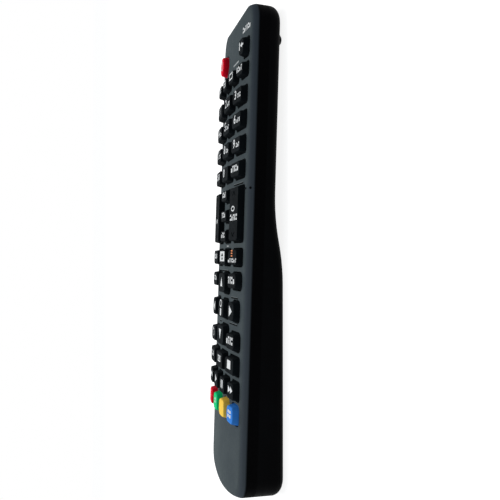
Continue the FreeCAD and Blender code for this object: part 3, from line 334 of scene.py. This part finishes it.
class Pen:
    """Collects flat outlines, each a list of points in millimetres."""

    def __init__(self):
        self.shapes = []

    def polygon(self, points):
        self.shapes.append(points)
        return self

    def box(self, x, y, width, height):
        """A filled rectangle about its middle."""
        left, low = x - width / 2, y - height / 2
        right, high = x + width / 2, y + height / 2
        return self.polygon([(left, low), (right, low), (right, high), (left, high)])

    def disc(self, x, y, radius, count=20):
        """A filled circle."""
        turns = [2 * math.pi * i / count for i in range(count)]
        return self.polygon([(x + radius * math.cos(t), y + radius * math.sin(t)) for t in turns])

    def oval(self, x, y, half_wide, half_tall, stroke, begin=0.0, end=360.0, count=24):
        """A round band, whole or open between two angles."""
        steps = [math.radians(begin + (end - begin) * i / count) for i in range(count + 1)]
        wide, tall = half_wide - stroke, half_tall - stroke
        for first, second in zip(steps, steps[1:]):
            outer = [(half_wide * math.cos(t), half_tall * math.sin(t)) for t in (first, second)]
            inner = [(wide * math.cos(t), tall * math.sin(t)) for t in (second, first)]
            self.polygon([(x + a, y + b) for a, b in outer + inner])
        return self

    def ring(self, x, y, radius, stroke, begin, end):
        """Part of a circle's line between two angles."""
        return self.oval(x, y, radius, radius, stroke, begin, end, 28)

    def frame(self, x, y, width, height, stroke):
        """A rectangle drawn as a line."""
        self.box(x, y + height / 2 - stroke / 2, width, stroke)
        self.box(x, y - height / 2 + stroke / 2, width, stroke)
        self.box(x - width / 2 + stroke / 2, y, stroke, height - 2 * stroke)
        self.box(x + width / 2 - stroke / 2, y, stroke, height - 2 * stroke)
        return self

    def arrow(self, x, y, radius, turn):
        """A filled triangle that points along the angle."""
        corners = [math.radians(turn + step) for step in (0, 125, 235)]
        return self.polygon([(x + radius * math.cos(t), y + radius * math.sin(t)) for t in corners])

    def marks(self, x, y, count, pitch, height, start=0):
        """A row of small signs without meaning, as tall and as close as a printed word."""
        wide = 0.66 * pitch
        tall = 0.36 * height
        rise = (height - tall) / 2
        for i in range(count):
            middle_x = x + (i - (count - 1) / 2) * pitch
            sign = (i + start) % 4
            if sign == 0:
                self.box(middle_x, y, 0.7 * wide, height)
            elif sign == 1:
                self.box(middle_x, y + rise, wide, tall)
                self.box(middle_x, y - rise, wide, tall)
            elif sign == 2:
                self.box(middle_x, y - rise / 2, wide, tall + rise)
            else:
                self.box(middle_x, y + height / 2 - 0.14 * height, wide, 0.28 * height)
                self.box(middle_x, y - 0.2 * height, 0.5 * wide, 0.6 * height)
        return self

    def digit(self, text, x, y, height):
        """A figure in the plain built-in type."""
        curve = bpy.data.curves.new("figure", "FONT")
        curve.body = text
        curve.size = height / FIGURE_SHARE
        curve.align_x = "CENTER"
        curve.align_y = "CENTER"
        curve.resolution_u = 3
        curve.offset = height * FIGURE_WEIGHT
        carrier = bpy.data.objects.new("figure", curve)
        bpy.context.scene.collection.objects.link(carrier)
        bpy.context.view_layer.update()
        flat = bpy.data.meshes.new_from_object(carrier)
        for face in flat.polygons:
            corners = [flat.vertices[i].co for i in face.vertices]
            self.polygon([(x + corner.x, y + corner.y) for corner in corners])
        bpy.data.objects.remove(carrier)
        bpy.data.curves.remove(curve)
        bpy.data.meshes.remove(flat)
        return self


def top_of(name, x, y):
    """The point and the normal of a node's surface below a point above it."""
    hit, place, normal, _ = NODES[name].ray_cast(Vector((x, y, 50 * MM)), Vector((0, 0, -1)))
    if not hit:
        raise ValueError(f"{name} has no surface to print on at {x}, {y}")
    return place, normal


def print_on(name, label, pen, colour, body, x, y, lift, thick):
    """Puts flat outlines on a node's surface about a point, as one thin piece."""
    place, normal = top_of(name, x, y)
    across = (Vector((1, 0, 0)) - normal * normal.x).normalized()
    along = normal.cross(across)
    points = []
    faces = []
    for outline in pen.shapes:
        doubled_area = sum(
            a[0] * b[1] - b[0] * a[1] for a, b in zip(outline, outline[1:] + outline[:1])
        )
        if doubled_area < 0:
            outline = outline[::-1]
        count = len(outline)
        first = len(points)
        for level in (lift, lift + thick):
            for u, v in outline:
                points.append(place + (across * u + along * v + normal * level) * MM)
        faces.append(tuple(range(first + count - 1, first - 1, -1)))
        faces.append(tuple(range(first + count, first + 2 * count)))
        for i in range(count):
            j = (i + 1) % count
            faces.append((first + i, first + j, first + count + j, first + count + i))
    mesh = bpy.data.meshes.new(label)
    mesh.from_pydata([tuple(point) for point in points], [], faces)
    mesh.materials.append(colour)
    piece = bpy.data.objects.new(label, mesh)
    bpy.context.scene.collection.objects.link(piece)
    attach(piece, body)
    return piece


def legend(name, pen, colour=INK_WHITE, suffix=""):
    """Prints a legend in the middle of a key's top, which the lean moves up along Y."""
    low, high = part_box(name)
    x, y = (low.x + high.x) / 2, (low.y + high.y) / 2 + LEGEND_RISE * MM
    return print_on(name, f"legend_{name}{suffix}", pen, colour, name, x, y, *KEY_PRINT)


for digit in range(10):
    pen = Pen().digit(str(digit), -1.5, 0.1, 3.3)
    legend(f"key_{digit}", pen)

for digit in range(2, 10):
    pen = Pen().marks(2.5, -0.6, 3, 1.25, 1.7, digit)
    legend(f"key_{digit}", pen, suffix="_marks")

legend("key_list", Pen().marks(0, 0.1, 4, 1.7, 2.4, 1))
legend("key_recall", Pen().marks(0, 0.1, 5, 1.7, 2.4, 2))
legend("key_power", Pen().ring(0, 0, 1.9, 0.45, 125, 415).box(0, 1.5, 0.45, 1.9))
source = Pen().box(-1.5, 0.1, 0.6, 3.0).arrow(0.5, 0.1, 1.2, 180).box(1.6, 0.1, 1.2, 0.6)
legend("key_source", source)
legend("key_subtitle", Pen().marks(0, 0.1, 3, 1.4, 2.0, 3))
legend("key_text", Pen().frame(0, 0.2, 3.2, 2.6, 0.4).box(0, 0.2, 1.8, 0.4))
legend("key_picture", Pen().frame(0, 0.2, 4.4, 2.6, 0.45))
legend("key_sleep", Pen().marks(-0.2, 0.1, 4, 1.5, 2.1))
legend("key_mute", Pen().marks(0, 0.1, 4, 1.35, 2.1))
legend("key_favourite", Pen().marks(0, 0.1, 4, 1.35, 2.1, 3))
legend("key_guide", Pen().marks(0, 0.1, 4, 1.35, 2.1, 2))
legend("rocker_volume", Pen().disc(0, -1.6, 1.0))
legend("rocker_channel", Pen().oval(-0.6, 1.7, 1.9, 1.05, 0.5).marks(0.4, -1.6, 5, 1.6, 2.3, 1))
legend("key_settings", Pen().marks(0, 0.1, 4, 1.6, 2.0))
orange_bars = Pen()
for along in (0.2, 1.15, 2.1):
    orange_bars.box(-0.4, along, 1.6, 0.5)
legend("key_tools", orange_bars, INK_ORANGE, suffix="_bars")
legend("key_tools", Pen().marks(0.2, -1.5, 6, 1.6, 1.5, 2))
legend("key_menu", Pen().marks(0, 0.1, 4, 1.6, 2.0, 3))
legend("key_info", Pen().marks(-0.2, 0.0, 4, 1.9, 2.6, 3))
legend("key_up", Pen().polygon([(-1.6, -1.7), (1.6, -1.7), (0, 1.9)]))
legend("key_down", Pen().polygon([(-1.7, 1.9), (0, -2.1), (1.7, 1.9)]))
legend("key_left", Pen().polygon([(1.6, 1.8), (-1.6, -0.2), (1.6, -2.2)]))
legend("key_right", Pen().polygon([(-1.5, 1.8), (-1.5, -2.3), (1.7, -0.25)]))
legend("key_ok", Pen().oval(0, 1.7, 1.7, 1.5, 0.5).box(0, -1.7, 1.9, 2.7))
legend("key_back", Pen().ring(0, 0.0, 1.5, 0.4, -90, 120).arrow(-1.1, 1.35, 0.95, 180))
legend("key_exit", Pen().marks(0, 0.1, 4, 1.9, 2.8, 2))
legend("key_audio", Pen().marks(0, 0.1, 3, 1.5, 2.2, 1))
legend("key_aspect", Pen().frame(0, 0.1, 4.2, 2.4, 0.38).box(0, 0.1, 1.6, 1.2))
legend("key_stop", Pen().box(0, 0.1, 3.8, 3.2))
legend("key_rewind", Pen().arrow(-1.2, 0.1, 1.5, 180).arrow(1.0, 0.1, 1.5, 180))
legend("key_play", Pen().arrow(0, 0.1, 1.8, 0))
legend("key_pause", Pen().box(-0.8, 0.1, 0.9, 3.1).box(0.8, 0.1, 0.9, 3.1))
legend("key_forward", Pen().arrow(-1.1, 0.1, 1.6, 0).arrow(1.2, 0.1, 1.6, 0))
legend("key_green", Pen().box(0, 0.7, 1.6, 0.8).box(0, -0.5, 1.6, 0.8))
squares = Pen()
for across, along in ((-1.0, 0.8), (1.0, 0.8), (-1.0, -0.8), (1.0, -0.8)):
    squares.box(across, along, 1.3, 1.1)
legend("key_blue", squares)

# The white face of the home key, with a dark sign on it
legend("key_home", Pen().box(0, 0, 7.2, 3.9), INK_PLATE, suffix="_plate")
home = legend(
    "key_home",
    Pen().polygon([(-1.8, 0.0), (1.8, 0.0), (0, 1.5)]).box(0, -0.9, 2.2, 0.8),
    INK_DARK,
    suffix="_sign",
)
home.data.transform(Matrix.Translation(Vector((0, 0, KEY_PRINT[1] * MM))))


def face_print(label, pen, colour, x, y):
    """Prints flat marks on the case about a point given in millimetres on the key face."""
    along = y * math.cos(LEAN) + FACE_HEIGHT * math.sin(LEAN) + FACE_SHIFT
    print_on("upper_case", label, pen, colour, "case", x * MM, along * MM, *CASE_PRINT)


# Printed labels beside the keys, thin dark lines between the groups with a painted highlight above
# each, given by their two ends across the face and their place along it, and two dots on the
# shoulder
face_print("label_source", Pen().marks(0, 0, 6, 1.35, 2.1, 1), INK_WHITE, 16.0, 82.6)
face_print("label_top_row", Pen().box(0, 0, 7.0, 0.5), INK_GREY, 4.5, 72.5)
face_print("label_rockers", Pen().box(0, 0, 3.0, 0.5), INK_GREY, 0.0, 1.2)
LINES = (
    (7.5, 15.2, -18.6),
    (6.3, 15.4, -28.5),
    (-8.0, 2.8, -8.6),
    (7.1, 17.2, 24.4),
    (-10.9, -7.1, -29.2),
)
for i, (left, right, along) in enumerate(LINES):
    middle, length = (left + right) / 2, right - left
    face_print(f"line_dark_{i}", Pen().box(0, 0, length, 0.5), INK_DARK, middle, along)
    face_print(f"line_light_{i}", Pen().box(0, 0, length, 0.2), EDGE_HIGHLIGHT, middle, along + 0.35)
for i, across in enumerate((20.0, 22.2)):
    face_print(f"shoulder_dot_{i}", Pen().disc(0, 0, 0.45, 12), INK_DARK, across, 22.0)


# Floor, light and camera

FLOOR_REACH = 6.0
FLOOR_GREY = 0.42
BACKDROP_GREY = 0.4
BACKDROP_GLOW = 0.86
WORLD_TINT = (0.93, 0.97, 1.0, 1)
WORLD_STRENGTH = 0.35
WHITE = (1, 1, 1, 1)

# The camera fitted to the photograph, metres, and its lens in millimetres
EYE = Vector((0.22042, -0.00221, 0.07037))
AIM = Vector((0.0, 0.00006, 0.00705))
LENS = 41.174


def backdrop_rays(tree):
    """1 for the rays that meet the white backdrop: straight, mirrored or through glass."""
    rays = node(tree, "ShaderNodeLightPath")
    either = rays.outputs["Is Camera Ray"]
    for kind in ("Is Glossy Ray", "Is Transmission Ray"):
        more = node(tree, "ShaderNodeMath", operation="MAXIMUM")
        tree.links.new(either, more.inputs[0])
        tree.links.new(rays.outputs[kind], more.inputs[1])
        either = more.outputs[0]
    return either


def mix_shaders(tree, lighting, backdrop, output_kind):
    """Shows one shader to the backdrop rays and another to the rays that carry light."""
    mixer = node(tree, "ShaderNodeMixShader")
    output = node(tree, output_kind)
    tree.links.new(backdrop_rays(tree), mixer.inputs[0])
    tree.links.new(lighting, mixer.inputs[1])
    tree.links.new(backdrop, mixer.inputs[2])
    tree.links.new(mixer.outputs[0], output.inputs["Surface"])


def coloured(tree, kind, colour, strength=None):
    """A plain shader of one colour, with a strength if it gives light."""
    shader = node(tree, kind)
    shader.inputs["Color"].default_value = colour
    if strength is not None:
        shader.inputs["Strength"].default_value = strength
    return shader.outputs[0]


def pale_floor():
    """A grey floor that is seen as white but keeps the object's shadow."""
    material = bpy.data.materials.new("pale_floor")
    material.use_nodes = True
    tree = material.node_tree
    tree.nodes.clear()
    lit = coloured(tree, "ShaderNodeBsdfDiffuse", (FLOOR_GREY,) * 3 + (1,))
    both = node(tree, "ShaderNodeAddShader")
    shade = coloured(tree, "ShaderNodeBsdfDiffuse", (BACKDROP_GREY,) * 3 + (1,))
    tree.links.new(shade, both.inputs[0])
    tree.links.new(coloured(tree, "ShaderNodeEmission", WHITE, BACKDROP_GLOW), both.inputs[1])
    mix_shaders(tree, lit, both.outputs[0], "ShaderNodeOutputMaterial")
    return material


def studio_world():
    """A soft, slightly cool light from all around, in front of a white backdrop."""
    world = bpy.data.worlds.new("studio")
    world.use_nodes = True
    tree = world.node_tree
    tree.nodes.clear()
    ambient = coloured(tree, "ShaderNodeBackground", WORLD_TINT, WORLD_STRENGTH)
    backdrop = coloured(tree, "ShaderNodeBackground", WHITE, 1.0)
    mix_shaders(tree, ambient, backdrop, "ShaderNodeOutputWorld")
    return world


def area_light(name, place, target, width, height, power, colour=(1, 1, 1)):
    lamp = bpy.data.lights.new(name, "AREA")
    lamp.shape = "RECTANGLE"
    lamp.size = width
    lamp.size_y = height
    lamp.energy = power
    lamp.color = colour
    light = bpy.data.objects.new(name, lamp)
    light.location = place
    aim = Vector(target) - Vector(place)
    light.rotation_euler = aim.to_track_quat("-Z", "Y").to_euler()
    bpy.context.scene.collection.objects.link(light)


corners = [(x * FLOOR_REACH, y * FLOOR_REACH, 0) for x, y in ((-1, -1), (1, -1), (1, 1), (-1, 1))]
floor_mesh = bpy.data.meshes.new("floor")
floor_mesh.from_pydata(corners, [], [(0, 1, 2, 3)])
floor_mesh.materials.append(pale_floor())
floor = bpy.data.objects.new("floor", floor_mesh)
bpy.context.scene.collection.objects.link(floor)

bpy.context.scene.world = studio_world()
area_light("overhead", (-0.55, 0.05, 0.95), (0, 0, 0.01), 1.1, 1.1, 11.0)
area_light("end_fill", (0.35, -0.9, 0.25), (0, -0.08, 0.01), 0.5, 0.35, 1.2, (0.9, 0.95, 1.0))

forward = (AIM - EYE).normalized()
right = forward.cross(Vector((0, 1, 0))).normalized()
upward = right.cross(forward)
lens = bpy.data.cameras.new("camera")
lens.sensor_width = 36
lens.lens = LENS
lens.clip_start = 0.01
lens.clip_end = 50
camera = bpy.data.objects.new("camera", lens)
turn = Matrix((right, upward, -forward)).transposed()
camera.matrix_world = Matrix.Translation(EYE) @ turn.to_4x4()
bpy.context.scene.collection.objects.link(camera)
bpy.context.scene.camera = camera
bpy.context.scene.view_settings.view_transform = "Standard"
